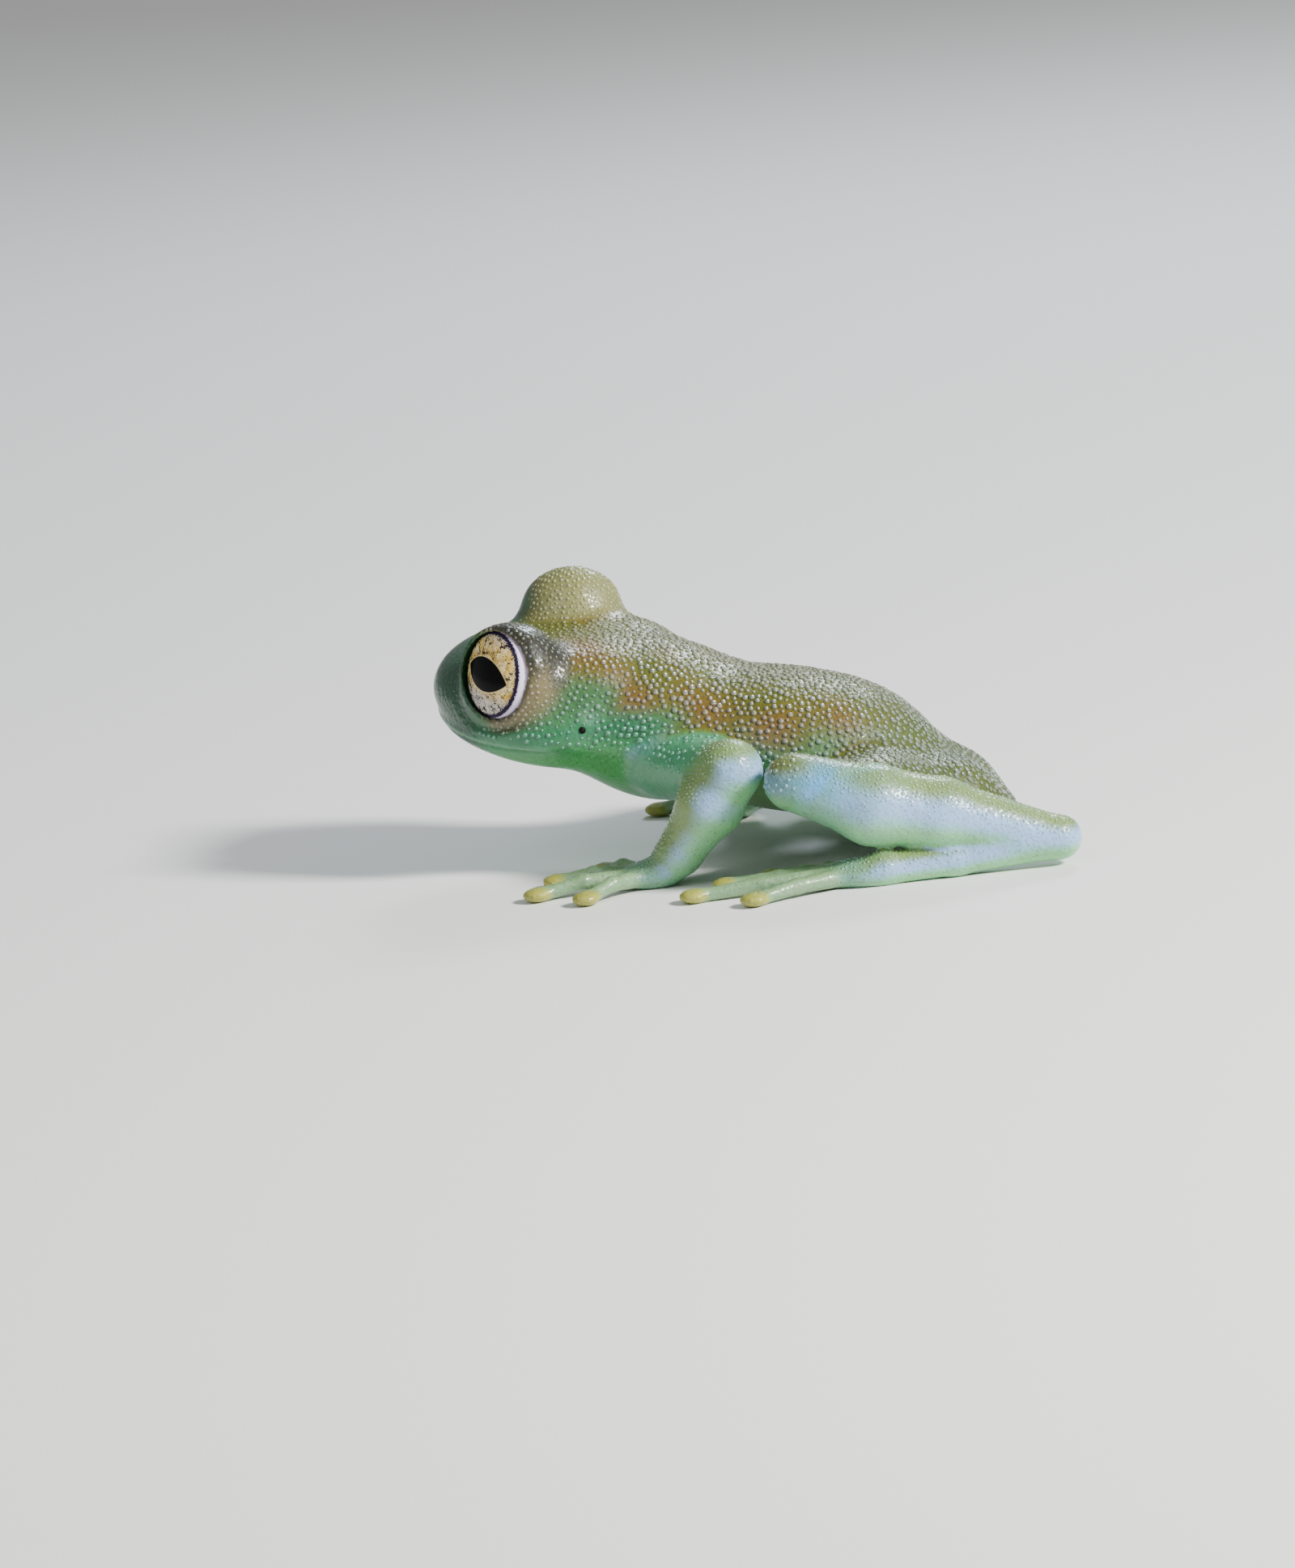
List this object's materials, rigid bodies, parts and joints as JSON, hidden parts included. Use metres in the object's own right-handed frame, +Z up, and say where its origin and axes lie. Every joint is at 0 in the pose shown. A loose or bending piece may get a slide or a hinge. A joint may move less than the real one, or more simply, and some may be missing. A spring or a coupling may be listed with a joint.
{
  "type": "glass frog",
  "caption": "A still, life-size glass frog crouched on its folded hind legs, head raised, with bulging eyes, round toe discs and granular green skin.",
  "frame": {"origin": "on the floor, under the middle of the frog's bounding box", "axes": "+X the frog's left, -Y where its nose points, +Z up; its length runs along Y"},
  "size_m": [0.024, 0.025, 0.0107],
  "materials": {
    "back": "moist granular skin, olive yellow to green with pale bluish granules",
    "limb": "moist smooth skin, bluish green to lilac white",
    "digit": "moist smooth skin, yellowish green",
    "eye": "clear wet cornea over a golden iris with dark veins and a slit pupil"
  },
  "bodies": {
    "root": {"head": "back", "torso": "back", "eye_left": "eye", "thigh_left": "limb", "shank_left": "limb", "tarsus_left": "limb", "foot_left": "digit", "upper_arm_left": "limb", "forearm_left": "limb", "hand_left": "digit", "eye_right": "eye", "thigh_right": "limb", "shank_right": "limb", "tarsus_right": "limb", "foot_right": "digit", "upper_arm_right": "limb", "forearm_right": "limb", "hand_right": "digit"}
  },
  "joints": []
}
